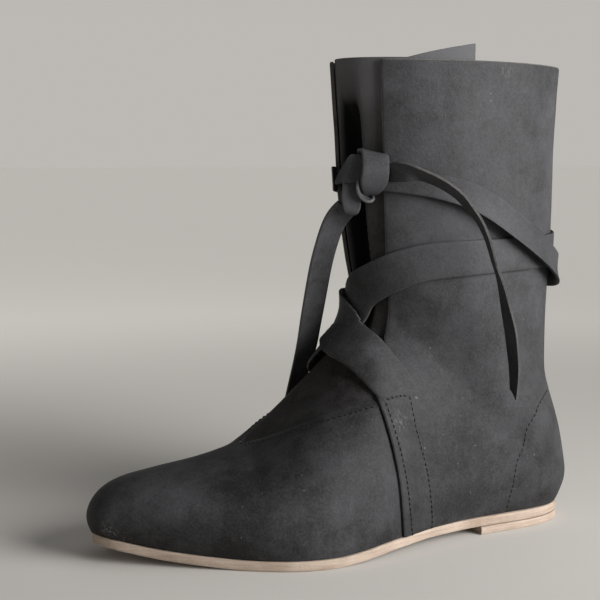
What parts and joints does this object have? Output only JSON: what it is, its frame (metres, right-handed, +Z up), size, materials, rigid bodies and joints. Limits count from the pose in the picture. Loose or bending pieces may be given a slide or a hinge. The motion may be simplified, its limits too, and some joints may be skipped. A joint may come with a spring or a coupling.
{
  "type": "medieval boot",
  "caption": "Black leather ankle boot for the left foot, flat pale leather sole and low heel, wrapped ankle straps tied in a knot beside the throat.",
  "frame": {"origin": "on the floor under the middle of the boot's box, measured without the knot and the hanging strap ends", "axes": "+X from heel to toe, +Y towards the outer (lateral) side of a left foot, +Z up"},
  "size_m": [0.288, 0.113, 0.2745],
  "materials": {
    "black_leather": "matt oiled",
    "tongue_leather": "matt oiled",
    "sole_leather": "raw cut edge",
    "insole_leather": "plain"
  },
  "bodies": {
    "root": {"outsole": "sole_leather", "heel_lift": "sole_leather", "insole": "insole_leather", "upper": "black_leather", "tongue": "tongue_leather", "strap_lateral": "black_leather", "strap_medial": "black_leather", "knot": "black_leather", "strap_tail_lateral": "black_leather", "strap_tail_medial": "black_leather"}
  },
  "joints": []
}
